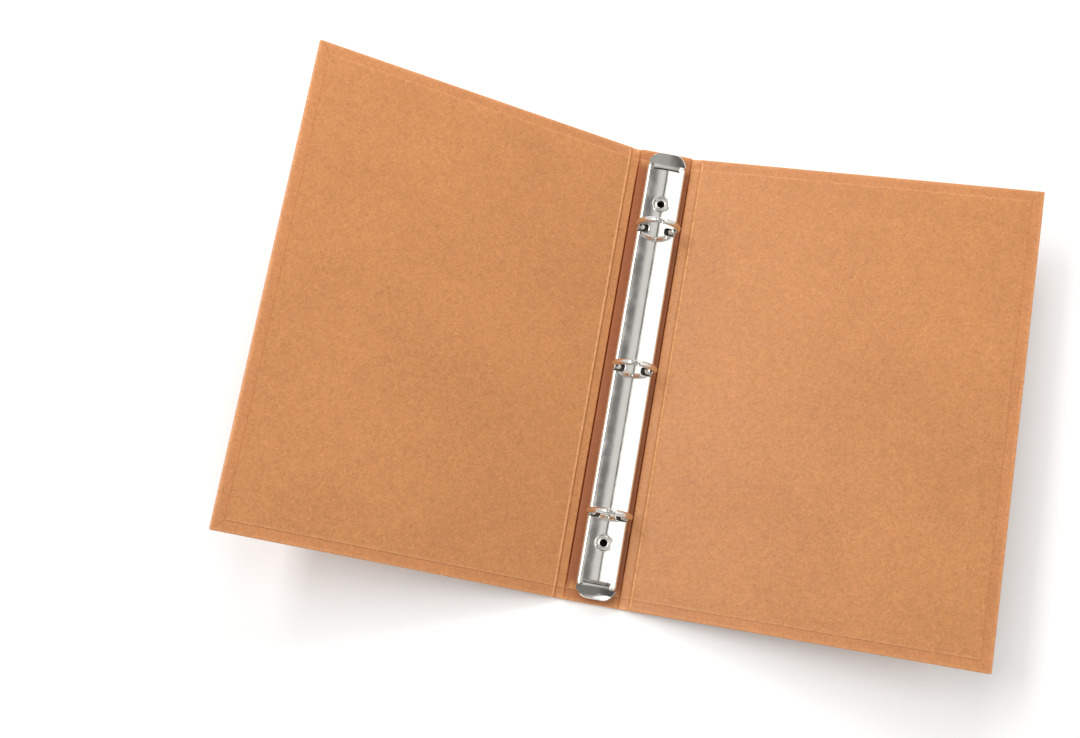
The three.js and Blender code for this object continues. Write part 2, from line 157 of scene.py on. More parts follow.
RING_ROWS = {"upper": 69.85, "middle": 0.0, "lower": -69.85}
RING_WIRE = 2.8
RING_RADIUS = 9.4
RING_CENTRE_HEIGHT = 11.6
RING_OVERLAP = 0.9
RING_SIDES = 24
RING_TIP_CHAMFER = 0.15
BLADE_PIVOT_X = 8.5
BLADE_PIVOT_HEIGHT = 2.75
BLADE_TILT = math.radians(7)
BLADE_SHEET = 0.8
RING_LEG = 2.1  # from a blade's pivot line to the foot of its ring halves
TENON_RADIUS = 1
TENON_HEAD_RADIUS = 1.5
TENON_HEAD_DEPTH = 0.45
TENON_SIDES = 20
AXIS_RADIUS = 0.01  # a lathed piece ends in a face as small as this
LEVER_SHEET = 0.8
LEVER_HALF = 9.4
LEVER_END = 108.7
LEVER_CORNER = 6
LEVER_RIM_HEIGHT = 5.9
LEVER_STEM_HALF = 5.5
LEVER_NECK_HALF = 7.2  # between the plate's ears
LEVER_STEM_TOP = 3.5
LEVER_CROWN = 0.4  # how much lower the lip's sides are than its middle
LEVER_CURL = PLATE_END + 0.6  # the lip starts to curl up here
LEVER_JOGGLE = 0.8  # depth of the groove across the stem, at the same place
LEVER_JOGGLE_WIDTH = 0.45
LEVER_LIP = EAR_END + 0.4  # the lip has its full width from here on
LEVER_WEB = 97  # the stem turns down here, to the tongue below it
LEVER_WEB_BEND = 0.6
LEVER_TONGUE_TIP = 91
LEVER_TONGUE_HALF = 2
LEVER_TONGUE_LIFT = 0.35  # from the liner up to the tongue
LEVER_TONGUE_TOP = LEVER_TONGUE_LIFT + LEVER_SHEET
WEAR_AND_HIGHLIGHT_TINT = (1.45, 1.75, 2.4)  # of paper that is rubbed pale, and of painted highlights, against its own colour
# The colour of painted shade over the spine and in the creases, against the paper's colour.
PAINTED_SHADE_TINT = (0.41, 0.16, 0.02)


# ---- numbers and meshes ----
def smooth(t):
    """Rises from 0 to 1 as t does, level at both ends."""
    t = np.clip(t, 0, 1)
    return t * t * (3 - 2 * t)


def line_at(distance, width):
    """A soft-edged line, from 1 along its middle to 0 beside it."""
    return np.exp(-((distance / width) ** 2))


def stations(stops, steps):
    """Places along a line, each stretch between two stops divided into steps of about that size."""
    parts = [
        np.linspace(a, b, max(1, round((b - a) / step)) + 1)[:-1]
        for a, b, step in zip(stops, stops[1:], steps)
    ]
    return np.append(np.concatenate(parts), stops[-1])


def grid_faces(rows, columns, closed=False):
    """Quads of a grid whose points are listed row by row. A closed grid's rows are rings."""
    index = np.arange(rows * columns).reshape(rows, columns)
    if closed:
        index = np.hstack([index, index[:, :1]])
    corners = [index[:-1, :-1], index[:-1, 1:], index[1:, 1:], index[1:, :-1]]
    return np.stack(corners, axis=-1).reshape(-1, 4)


def rounded_box(points, centre, half, radius):
    """How far plan points lie outside a rectangle with rounded corners."""
    past = np.abs(points - np.array(centre)) - np.array(half) + radius
    outside = np.linalg.norm(np.maximum(past, 0), axis=-1)
    return outside + np.minimum(past.max(axis=-1), 0) - radius


def circle(points, centre, radius):
    """How far plan points lie outside a circle."""
    return np.linalg.norm(points - np.array(centre), axis=-1) - radius


def punched(plan, faces, distance):
    """Takes the faces inside an outline out of a flat grid, and moves the cut's rim onto the outline."""
    kept = distance(plan[faces].mean(axis=1)) > 0
    rim = np.intersect1d(faces[kept], faces[~kept])
    plan = plan.copy()
    tiny = 1e-3
    for _ in range(4):
        here = distance(plan[rim])
        slope = [(distance(plan[rim] + step) - here) / tiny for step in np.eye(2) * tiny]
        slope = np.stack(slope, axis=-1)
        length = np.maximum(np.linalg.norm(slope, axis=-1, keepdims=True), 1e-6)
        plan[rim] -= slope / length * here[:, None]
    return plan, faces[kept]


def round_corners(x, y, half_x, half_y, radius):
    """Draws the corners of a rectangular plan in to a radius, with all that lies near them."""
    past_x = np.abs(x) - (half_x - radius)
    past_y = np.abs(y) - (half_y - radius)
    at_corner = (past_x > 0) & (past_y > 0)
    shrink = np.maximum(past_x, past_y) / np.maximum(np.hypot(past_x, past_y), 1e-9)
    pull = np.where(at_corner, shrink - 1, 0)
    return x + np.sign(x) * past_x * pull, y + np.sign(y) * past_y * pull


def new_piece(name, parts, material, same_way=False):
    """A mesh object from parts. A part holds its points in millimetres and its faces. On paper it
    also holds every point's place on the flat sheet and its wear and painted light, from painted shade
    at -1 to pale at 1, where the paper is rubbed or carries a painted highlight. With same_way, the faces
    are made to face one way, which is out on a closed part."""
    points, faces, sheets, wear_and_painted_light_lists = [], [], [], []
    for part in parts:
        first = sum(len(p) for p in points)
        points.append(np.asarray(part[0], float))
        faces += [[int(i) + first for i in face] for face in part[1]]
        if len(part) > 2:
            sheets.append(part[2])
            wear_and_painted_light_lists.append(part[3])
    mesh = bpy.data.meshes.new(name)
    mesh.from_pydata((np.concatenate(points) * MM).tolist(), [], faces)
    if sheets:
        corners = np.zeros(len(mesh.loops), np.int32)
        mesh.loops.foreach_get("vertex_index", corners)
        places = (np.concatenate(sheets) * MM)[corners]
        mesh.uv_layers.new(name="sheet").data.foreach_set("uv", places.astype(np.float32).ravel())
        wear_and_painted_light = mesh.attributes.new("wear_and_painted_light", "FLOAT", "POINT")
        wear_and_painted_light.data.foreach_set("value", np.concatenate(wear_and_painted_light_lists).astype(np.float32))
    shape = bmesh.new()
    shape.from_mesh(mesh)
    bmesh.ops.delete(shape, geom=[v for v in shape.verts if not v.link_faces], context="VERTS")
    bmesh.ops.remove_doubles(shape, verts=shape.verts, dist=1e-6)
    if same_way:
        bmesh.ops.recalc_face_normals(shape, faces=shape.faces)
    shape.to_mesh(mesh)
    shape.free()
    mesh.materials.append(material)
    piece = bpy.data.objects.new(name, mesh)
    bpy.context.scene.collection.objects.link(piece)
    return piece


def thicken(piece, thickness, offset):
    """Gives a sheet its thickness: about its face with offset 0, or all on its back with -1."""
    solidify = piece.modifiers.new("thickness", "SOLIDIFY")
    solidify.thickness = thickness * MM
    solidify.offset = offset
    solidify.use_even_offset = True
    solidify.use_quality_normals = True


def soften(piece, width, segments=2, angle=40):
    """Rounds the edges where a piece's faces meet at more than an angle."""
    bevel = piece.modifiers.new("edges", "BEVEL")
    bevel.width = width * MM
    bevel.segments = segments
    bevel.limit_method = "ANGLE"
    bevel.angle_limit = math.radians(angle)


def settle(piece):
    """Applies a piece's modifiers and shades it smooth, apart from its sharp edges."""
    sharp_angle = 35
    depsgraph = bpy.context.evaluated_depsgraph_get()
    made = bpy.data.meshes.new_from_object(
        piece.evaluated_get(depsgraph), preserve_all_data_layers=True, depsgraph=depsgraph
    )
    piece.modifiers.clear()
    piece.data = made
    made.shade_smooth()
    made.set_sharp_from_angle(angle=math.radians(sharp_angle))


# ---- node helpers ----
def node(tree, kind, inputs=None, **settings):
    """A new node, with its inputs given as values or as the sockets that feed them."""
    made = tree.nodes.new(kind)
    for name, value in settings.items():
        setattr(made, name, value)
    for name, value in (inputs or {}).items():
        if isinstance(value, bpy.types.NodeSocket):
            tree.links.new(value, made.inputs[name])
        else:
            made.inputs[name].default_value = value
    return made


def calc(tree, operation, a, b=0.0):
    return node(tree, "ShaderNodeMath", {0: a, 1: b}, operation=operation).outputs[0]


def ranged(tree, value, from_low, from_high, to_low, to_high, way="SMOOTHSTEP"):
    """A value moved from one range to another, and kept inside it."""
    inputs = {
        "Value": value, "From Min": from_low, "From Max": from_high, "To Min": to_low, "To Max": to_high,
    }
    return node(tree, "ShaderNodeMapRange", inputs, interpolation_type=way).outputs["Result"]


def noise(tree, place, size, detail=2.0, stretch=(1, 1, 1), turn=0.0, shift=0.0):
    """Noise with features about size millimetres across. Stretch makes them longer along X, which
    turn then swings round, and shift picks another part of the noise."""
    mapped = node(tree, "ShaderNodeMapping", {
        "Vector": place,
        "Location": (shift, shift * 0.7, shift * 0.3),
        "Rotation": (0, 0, math.radians(turn)),
        "Scale": stretch,
    }, vector_type="TEXTURE")
    return node(tree, "ShaderNodeTexNoise", {
        "Vector": mapped.outputs[0], "Scale": 1 / (size * MM), "Detail": detail, "Roughness": 0.6,
    }).outputs["Fac"]


def total(tree, values):
    """The sum of a list of values."""
    added = values[0]
    for value in values[1:]:
        added = calc(tree, "ADD", added, value)
    return added


def scaled(tree, colour, tone):
    """A colour made darker or lighter by a tone."""
    return node(tree, "ShaderNodeVectorMath", {0: colour, "Scale": tone}, operation="SCALE").outputs[0]


def mixed(tree, share, plain, other):
    """A colour between plain and other."""
    mix = node(tree, "ShaderNodeMix", {"Factor": share}, data_type="RGBA")
    ends = [socket for socket in mix.inputs if socket.type == "RGBA"]
    for socket, value in zip(ends, (plain, other)):
        if isinstance(value, bpy.types.NodeSocket):
            tree.links.new(value, socket)
        else:
            socket.default_value = (*value, 1)
    return next(socket for socket in mix.outputs if socket.type == "RGBA")


def new_material(name):
    material = bpy.data.materials.new(name)
    material.use_nodes = True
    tree = material.node_tree
    shader = next(n for n in tree.nodes if n.type == "BSDF_PRINCIPLED")
    return material, tree, shader


def bumped(tree, shader, height, distance):
    """Roughens a surface by a height, of which 1 is a distance in millimetres."""
    bump = node(tree, "ShaderNodeBump", {"Height": height, "Distance": distance * MM})
    tree.links.new(bump.outputs[0], shader.inputs["Normal"])


# ---- finishes ----
def kraft_paper(name, colour, shift):
    """Tan kraft paper: cloudy tone, grain, pale and dark fibres lying every way, and dark specks. It
    is paler where it is rubbed and where it carries a painted highlight, and darker and redder where it
    carries painted shade."""
    material, tree, shader = new_material(name)
    place = node(tree, "ShaderNodeUVMap", uv_map="sheet").outputs[0]
    cloud = noise(tree, place, 60, 2, shift=shift)
    mottle = noise(tree, place, 7, 3, shift=shift + 1)
    grain = noise(tree, place, 1.6, 3, shift=shift + 2)
    fine = noise(tree, place, 0.4, 2, shift=shift + 3)
    pale = []
    dark = []
    for number, turn in enumerate([4, 63, -52, 27, 96]):
        strand = noise(tree, place, 0.35, 1, (9, 1, 1), turn, shift + 4 + number)
        pale.append(ranged(tree, strand, 0.62, 0.72, 0, 1))
        dark.append(ranged(tree, strand, 0.38, 0.28, 0, 1))
    pale = total(tree, pale)
    dark = total(tree, dark)
    speck = ranged(tree, noise(tree, place, 0.9, 1, shift=shift + 11), 0.73, 0.78, 0, 1)
    tone = total(tree, [
        ranged(tree, cloud, 0.3, 0.7, 0.965, 1.035),
        ranged(tree, mottle, 0.25, 0.75, -0.03, 0.03),
        ranged(tree, grain, 0.25, 0.75, -0.065, 0.065),
        ranged(tree, fine, 0.25, 0.75, -0.07, 0.07),
        calc(tree, "MULTIPLY", pale, 0.13),
        calc(tree, "MULTIPLY", dark, -0.13),
        calc(tree, "MULTIPLY", speck, -0.28),
    ])
    # Darker paper is also redder, so green and blue fall faster than red.
    tint = node(tree, "ShaderNodeCombineXYZ", {
        "X": calc(tree, "MULTIPLY", tone, colour[0]),
        "Y": calc(tree, "MULTIPLY", calc(tree, "POWER", tone, 1.2), colour[1]),
        "Z": calc(tree, "MULTIPLY", calc(tree, "POWER", tone, 1.45), colour[2]),
    }).outputs[0]
    wear_and_painted_light = node(tree, "ShaderNodeAttribute", attribute_name="wear_and_painted_light").outputs["Fac"]
    # Paler where the paper is rubbed, and where the attribute carries a painted highlight along the ridges.
    pale_share = calc(tree, "MULTIPLY", calc(tree, "MAXIMUM", wear_and_painted_light, 0), ranged(tree, grain, 0.35, 0.65, 0.4, 1))
    pale_colour = [part * share for part, share in zip(colour, WEAR_AND_HIGHLIGHT_TINT)]
    worn_and_highlighted = mixed(tree, pale_share, tint, pale_colour)
    # Painted shade: below 0 the attribute turns the paper darker and redder.
    painted_shade = calc(tree, "MAXIMUM", calc(tree, "MULTIPLY", wear_and_painted_light, -1), 0)
    painted_shade_colour = [part * share for part, share in zip(colour, PAINTED_SHADE_TINT)]
    tree.links.new(mixed(tree, painted_shade, worn_and_highlighted, painted_shade_colour), shader.inputs["Base Color"])
    tree.links.new(ranged(tree, mottle, 0.3, 0.7, 0.42, 0.5), shader.inputs["Roughness"])
    shader.inputs["Specular IOR Level"].default_value = 0.5
    height = total(tree, [
        calc(tree, "MULTIPLY", fine, 0.9),
        calc(tree, "MULTIPLY", grain, 0.8),
        calc(tree, "MULTIPLY", pale, 0.25),
        calc(tree, "MULTIPLY", dark, -0.2),
    ])
    bumped(tree, shader, height, 0.05)
    return material


def greyboard_stock():
    """Grey-brown bookbinding board, pressed from short fibres."""
    material, tree, shader = new_material("greyboard")
    place = node(tree, "ShaderNodeTexCoord").outputs["Object"]
    pulp = noise(tree, place, 1.2, 4)
    strands = noise(tree, place, 0.4, 1, (6, 1, 1), 35, 1)
    clouds = noise(tree, place, 12, 2, shift=2)
    tone = total(tree, [
        ranged(tree, pulp, 0.25, 0.75, 0.85, 1.15),
        ranged(tree, strands, 0.55, 0.75, 0, 0.2),
        ranged(tree, clouds, 0.3, 0.7, -0.06, 0.06),
    ])
    tree.links.new(scaled(tree, (0.34, 0.29, 0.23), tone), shader.inputs["Base Color"])
    shader.inputs["Roughness"].default_value = 0.9
    bumped(tree, shader, total(tree, [pulp, strands]), 0.08)
    return material


def polished_nickel(name, grain_turn, grain_strength, base=(0.80, 0.775, 0.735), dullness=0.0):
    """Bright nickel plating: faint polishing lines, smudges, a few pits and a slight ripple of the
    sheet under it. A dark base paints it with shade, and some dullness makes it rougher."""
    material, tree, shader = new_material(name)
    place = node(tree, "ShaderNodeTexCoord").outputs["Object"]
    smudge = noise(tree, place, 9, 3)
    ripple = noise(tree, place, 6, 1, shift=1)
    lines = noise(tree, place, 0.12, 1, (40, 1, 1), grain_turn, 2)
    pits = ranged(tree, noise(tree, place, 0.5, 1, shift=3), 0.74, 0.8, 0, 1)
    tone = total(tree, [
        ranged(tree, smudge, 0.3, 0.7, 0.97, 1.03),
        calc(tree, "MULTIPLY", pits, -0.12),
    ])
    tree.links.new(scaled(tree, base, tone), shader.inputs["Base Color"])
    shader.inputs["Metallic"].default_value = 1.0
    rough = total(tree, [
        ranged(tree, smudge, 0.35, 0.75, 0.07 + dullness, 0.14 + dullness),
        ranged(tree, lines, 0.6, 0.8, 0, 0.08),
        calc(tree, "MULTIPLY", pits, 0.15),
    ])
    tree.links.new(rough, shader.inputs["Roughness"])
    height = total(tree, [
        ripple,
        calc(tree, "MULTIPLY", lines, 0.02 * grain_strength),
        calc(tree, "MULTIPLY", pits, -0.05),
    ])
    bumped(tree, shader, height, 0.03)
    return material


def unplated_bore_shade():
    """The dull inside of a rivet, which the plating doesn't reach, painted almost black as painted shade in
    the deep bore.
    """
    material, tree, shader = new_material("rivet_bore")
    place = node(tree, "ShaderNodeTexCoord").outputs["Object"]
    stain = noise(tree, place, 1.5, 3)
    tone = ranged(tree, stain, 0.3, 0.7, 0.6, 1.4)
    tree.links.new(scaled(tree, (0.045, 0.04, 0.035), tone), shader.inputs["Base Color"])
    shader.inputs["Roughness"].default_value = 0.6
    bumped(tree, shader, stain, 0.05)
    return material


wrap_paper = kraft_paper("kraft_wrap", (0.49, 0.192, 0.062), 0.0)
liner_paper = kraft_paper("kraft_liner", (0.48, 0.195, 0.061), 5.0)
greyboard = greyboard_stock()
plate_nickel = polished_nickel("nickel_plate", 90, 1.0)
wire_nickel = polished_nickel("nickel_wire", 0, 0.5)
rivet_nickel = polished_nickel("nickel_rivet", 0, 0.5, dullness=0.06)
# The blades' nickel is painted dark, as painted shade under the plate.
blade_painted_shade = polished_nickel("blade_painted_shade", 90, 1.0, (0.12, 0.11, 0.10), 0.3)
rivet_bore = unplated_bore_shade()


# ---- the case ----
def groove(u):
    """How far the inner paper dips between the spine board and a cover board."""
    u = np.abs(u)
    drop = smooth((u - SPINE_HALF + 0.1) / GROOVE_FALL)
    rise = smooth((u - SPINE_HALF - GROOVE_FLOOR) / (COVER_START - SPINE_HALF - GROOVE_FLOOR))
    ridge = line_at(u - COVER_START - RIDGE_OUT, LINE_WIDTH)
    return GROOVE_DEPTH * drop * (1 - rise) + CREASE_DEPTH * crease(u) - RIDGE_HEIGHT * ridge


def crease(u):
    """The sharp line in the paper beside the spine board, from 0 to 1."""
    return line_at(np.abs(u) - SPINE_HALF - CREASE_OUT, CREASE_WIDTH)


def turn_in_level(u):
    """The height of the turned-in edges, over the boards and between them."""
    return TURN_IN_LEVEL - groove(u)


def outer_level(u):
    """The height of the underside's paper, which is pressed up a little between the boards."""
    u = np.abs(u)
    past_spine = smooth((u - SPINE_HALF) / OUTER_SLOPE)
    before_cover = 1 - smooth((u - COVER_START + OUTER_SLOPE) / OUTER_SLOPE)
    return WRAP_LEVEL + OUTER_GROOVE * past_spine * before_cover


def outer_age(u):
    """How pale handling has rubbed the outer paper beside a hinge, from 0 to 1."""
    u = np.abs(u)
    cover_line = line_at(u - COVER_START - 0.3, LINE_WIDTH)
    spine_line = line_at(u - SPINE_HALF, LINE_WIDTH)
    return np.minimum(cover_line + 0.6 * spine_line, 1)


def inner_painted_light(u, y):
    """Painted light on the inner paper: painted shade over the spine and in the creases beside it,
    weaker towards the spine's ends, and a painted highlight along the ridges."""
    side_fade, spine_share, crease_share = 0.8, 0.72, 0.4
    end_share, end_start, end_fade = 0.3, 2, 9
    # Painted shade over the spine and in the crease beside it.
    over_spine = 1 - smooth((np.abs(u) - SPINE_HALF - CREASE_OUT) / side_fade)
    dark = spine_share * over_spine + crease_share * crease(u)
    # Painted highlight along the ridge at a cover board's edge.
    pale = line_at(np.abs(u) - COVER_START - 0.1, LINE_WIDTH)
    shade_strength = end_share + (1 - end_share) * smooth((HALF_LENGTH - np.abs(y) - end_start) / end_fade)
    return pale - dark * shade_strength


def flap_section(height):
    """A turned-in edge that goes round a board's edge and back in over it. For each of its points:
    how far out of the panel's border it lies, how high, how far along the paper, how wide the gap of
    the mitre is there, and how much it is rubbed."""
    rubbed_place, rubbed_width = 1.6, 1.5
    height = np.asarray(height, float)[None, :]
    radius = np.minimum(FOLD_RADIUS, 0.45 * height)
    around = np.radians(np.linspace(0, 90, 5))[:, None]
    slack = np.where(around > 0, FOLD_RADIUS - radius, 0)
    inward = -np.array([*FLAP_COLUMNS, FLAP_END])[:, None]
    outward = np.vstack([
        slack + radius * np.sin(around),
        FOLD_RADIUS - radius + radius * np.cos(around),
        inward + 0 * height,
    ])
    up = np.vstack([
        radius * (1 - np.cos(around)),
        height - radius + radius * np.sin(around),
        height + 0 * inward,
    ])
    steps = np.hypot(np.diff(outward, axis=0), np.diff(up, axis=0))
    along = np.vstack([0 * height, np.cumsum(steps, axis=0)])
    gap = np.where(up > height - 1e-6, MITRE_GAP + MITRE_OPENING * np.maximum(-outward, 0), 0)
    gap[np.abs(outward) < MITRE_START] = 0
    pale_share = line_at(along - rubbed_place, rubbed_width)
    return outward, up, along, gap, pale_share


def rounded_cover(u, y):
    """Rounds the covers' outer corners in plan."""
    return round_corners(u, y, PANEL_END + FOLD_RADIUS, PANEL_HALF + FOLD_RADIUS, CORNER_RADIUS)


def sheet_part(u, y, z, sheet_u, sheet_y, wear_and_painted_light):
    """One patch of paper, as new_piece() takes it."""
    shape = np.broadcast_shapes(np.shape(u), np.shape(y), np.shape(z), np.shape(wear_and_painted_light))
    u, y, z, sheet_u, sheet_y, wear_and_painted_light = (np.broadcast_to(v, shape) for v in (u, y, z, sheet_u, sheet_y, wear_and_painted_light))
    points = np.stack([u, y, z], axis=-1).reshape(-1, 3)
    sheet = np.stack([sheet_u, sheet_y], axis=-1).reshape(-1, 2)
    return points, grid_faces(*shape), sheet, wear_and_painted_light.ravel()


def wrap_parts(us, ys, with_edge):
    """The wrap over the columns us, lying flat: the panel, both turned-in ends and, on a cover, the
    turned-in outer edge, whose ends are mitred against them."""
    parts = [sheet_part(us[None, :], ys[:, None], outer_level(us)[None, :], us[None, :], ys[:, None],
                        outer_age(us)[None, :])]
    outward, up, along, gap, pale_share = flap_section(turn_in_level(us) - outer_level(us))
    free = us.max() / 2
    limit = us.max() + (outward - gap if with_edge else 0 * outward)
    end_u = np.where(us > free, free + (us - free) * (limit - free) / (us.max() - free), us)
    for end in (1, -1):
        u, y = end_u, end * (PANEL_HALF + outward)
        if with_edge:
            u, y = rounded_cover(u, y)
        wear_and_painted_light = np.where(outward < 0, inner_painted_light(us, y) + pale_share, np.maximum(pale_share, outer_age(us)))
        parts.append(sheet_part(u, y, outer_level(us) + up, end_u, end * (PANEL_HALF + along), wear_and_painted_light))
    if with_edge:
        outward, up, along, gap, pale_share = flap_section(np.full(len(ys), TURN_IN_LEVEL - WRAP_LEVEL))
        edge_y = ys * (PANEL_HALF + outward - gap) / PANEL_HALF
        u, y = rounded_cover(PANEL_END + outward, edge_y)
        parts.append(sheet_part(u, y, WRAP_LEVEL + up, PANEL_END + along, edge_y, pale_share))
    return parts


def liner_part(us, ys):
    """The liner over the columns us, lying flat. It lies a little lower inside the turn-ins."""
    u, y = us[None, :], ys[:, None]
    inside_ends = smooth((HALF_LENGTH - TURN_IN - np.abs(y)) / LINER_STEP_WIDTH)
    inside = inside_ends * smooth((COVER_END - TURN_IN - np.abs(u)) / LINER_STEP_WIDTH)
    level = turn_in_level(u) + LINER_RISE - LINER_STEP * inside - LINER_CREASE * crease(u) * inside
    edge = line_at(HALF_LENGTH - LINER_MARGIN - np.abs(y), LINE_WIDTH)
    return sheet_part(u, y, level, u, y, 0.6 * edge + inner_painted_light(u, y))


def hinge_bend(side):
    """Where the paper starts and stops bending, in the case's section at rest."""
    half = COVER_ANGLE[side] / 2
    start = np.array([HINGE_X, HINGE_Z])
    return start, start + BEND_LENGTH * np.array([math.cos(half), math.sin(half)])


def folded(points, side):
    """Flat case points as they lie at rest. A point's share of the turn depends on where it ends
    up, so it is found by steps."""
    start, end = hinge_bend(side)
    arm = points[:, [0, 2]] - start
    weight = np.zeros(len(points))
    for _ in range(60):
        turn = weight * COVER_ANGLE[side]
        out = arm[:, 0] * np.cos(turn) - arm[:, 1] * np.sin(turn)
        up = arm[:, 0] * np.sin(turn) + arm[:, 1] * np.cos(turn)
        reach = (out * (end - start)[0] + up * (end - start)[1]) / BEND_LENGTH**2
        weight = (weight + smooth(reach)) / 2
    return np.stack([side * (start[0] + out), points[:, 1], start[1] + up], axis=-1)


def cover_sheet(name, side, parts, material):
    """A paper sheet that bends from the spine up onto a cover."""
    placed = [(folded(p, side), f, sheet * [side, 1], wear_and_painted_light) for p, f, sheet, wear_and_painted_light in parts]
    piece = new_piece(name, placed, material, same_way=True)
    thicken(piece, PAPER, 0)
    settle(piece)
    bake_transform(piece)
    return piece


def spine_sheet(name, parts, material, hole_radius):
    """A paper sheet that stays on the spine, with holes for the two rivets."""
    points, faces, sheet, wear_and_painted_light = parts[0]

    def holes(plan):
        return np.minimum(*[circle(plan, (MECHANISM[0], end * RIVET_Y), hole_radius) for end in (1, -1)])

    plan, kept = punched(points[:, :2], faces, holes)
    panel = (np.column_stack([plan, points[:, 2]]), kept, plan, wear_and_painted_light)
    piece = new_piece(name, [panel, *parts[1:]], material, same_way=True)
    thicken(piece, PAPER, 0)
    settle(piece)
    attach(piece, "spine")
    return piece


def make_case():
    """The paper sheets, whose points lie closely at folds, steps, hinges and rivet holes, and the
    finish of the three boards."""
    cover_us = stations(
        [SEAM, SPINE_HALF - 0.6, COVER_START + 2, PANEL_END - TURN_IN - 2, PANEL_END - TURN_IN + 2,
         PANEL_END - 1.2, PANEL_END],
        [0.6, 0.2, 4, 0.5, 3.5, 0.3],
    )
    ys = stations([-PANEL_HALF, 1.2 - PANEL_HALF, PANEL_HALF - 1.2, PANEL_HALF], [0.3, 4, 0.3])
    liner_us = stations(
        [SEAM, SPINE_HALF - 0.6, COVER_START + 2, COVER_END - TURN_IN - 2, COVER_END - TURN_IN + 1,
         COVER_END - LINER_MARGIN],
        [0.6, 0.2, 4, 0.5, 3],
    )
    liner_half = HALF_LENGTH - LINER_MARGIN
    step_half = HALF_LENGTH - TURN_IN
    liner_ys = stations(
        [-liner_half, 1 - liner_half, -step_half - 1, 2 - step_half, step_half - 2, step_half + 1,
         liner_half - 1, liner_half],
        [0.5, 3, 0.5, 4, 0.5, 3, 0.5],
    )
    for side, label in LABEL.items():
        wrap = cover_sheet(f"{label}_wrap_sheet", side, wrap_parts(cover_us, ys, True), wrap_paper)
        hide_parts(f"{label}_cover_wrap", f"{label}_hinge_wrap")
        liner = cover_sheet(f"{label}_liner_sheet", side, [liner_part(liner_us, liner_ys)], liner_paper)
        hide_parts(f"{label}_cover_liner", f"{label}_hinge_liner")
    hole = RIVET_HEAD + 2
    spine_us = stations([-SEAM, SEAM], [0.5])
    hole_ys = [-RIVET_Y - hole, hole - RIVET_Y, RIVET_Y - hole, RIVET_Y + hole]
    spine_ys = stations([-PANEL_HALF, *hole_ys, PANEL_HALF], [4, 0.5, 4, 0.5, 4])
    wrap = spine_sheet("spine_wrap_sheet", wrap_parts(spine_us, spine_ys, False), wrap_paper,
                       RIVET_HEAD + GLUE_GAP)
    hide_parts("spine_wrap")
    liner_spine_ys = stations([-liner_half, *hole_ys, liner_half], [4, 0.5, 4, 0.5, 4])
    liner = spine_sheet("spine_liner_sheet", [liner_part(spine_us, liner_spine_ys)], liner_paper,
                        RIVET_BARREL + GLUE_GAP)
    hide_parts("spine_liner")
    for name in ("front_cover_board", "back_cover_board", "spine_board"):
        repaint(name, greyboard)


def repaint(name, material):
    """Gives a CAD node that stays in view its finish."""
    data = frame["nodes"][name].data
    data.materials.clear()
    data.materials.append(material)


# ---- the ring mechanism, in a frame whose floor is the liner ----
def mechanism_piece(name, parts, material, replaced, same_way=False):
    """A piece of the mechanism that takes the place of a CAD node."""
    placed = [(points + MECHANISM, faces) for points, faces in parts]
    piece = new_piece(name, placed, material, same_way)
    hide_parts(replaced)
    return piece


def arc(centre, radius, start, stop, steps):
    """Points along an arc, between two angles in degrees."""
    turn = np.radians(np.linspace(start, stop, steps + 1))
    return np.stack([centre[0] + radius * np.cos(turn), centre[1] + radius * np.sin(turn)], axis=-1)


def plate_section():
    """Half of the cover plate's outer face, from its middle line down to the folded hem."""
    shoulder_x = PLATE_HALF - SHOULDER_RADIUS
    first_slope, last_slope = 0.055, 0.165
    x = np.linspace(0, shoulder_x, SLOPE_POINTS)
    eased = np.sqrt(x**2 + CREST_ROUNDING**2) - CREST_ROUNDING
    drop = first_slope * eased + (last_slope - first_slope) * eased**2 / (2 * shoulder_x)
    fall = (CREST_HEIGHT - SHOULDER_HEIGHT) / drop[-1]
    slope = np.stack([x, CREST_HEIGHT - drop * fall], axis=-1)
    centre = (shoulder_x, SHOULDER_HEIGHT - SHOULDER_RADIUS)
    lean = math.degrees(math.atan(last_slope * fall))
    shoulder = arc(centre, SHOULDER_RADIUS, 90 - lean / 2, 0, SHOULDER_STEPS)
    hem = HEM_WIDTH / 2
    wall = np.stack([np.full(3, PLATE_HALF), np.linspace(centre[1], hem, 4)[1:]], axis=-1)
    under = arc((PLATE_HALF - hem, hem), hem, 0, -180, 8)[1:]
    back = np.array([[PLATE_HALF - HEM_WIDTH, HEM_HEIGHT / 2], [PLATE_HALF - HEM_WIDTH, HEM_HEIGHT]])
    return np.vstack([slope, shoulder[1:], wall, under, back])


def ringed(plan, centre, reach):
    """Draws the grid lines round a place into circles, so that a round seat has a clean edge."""
    fade = 2.4
    offset = plan - centre
    square = np.abs(offset).max(axis=1)
    length = np.maximum(np.linalg.norm(offset, axis=1), 1e-9)
    share = 1 - smooth((square - reach) / fade)
    return centre + offset * (1 + share * (square / length - 1))[:, None]


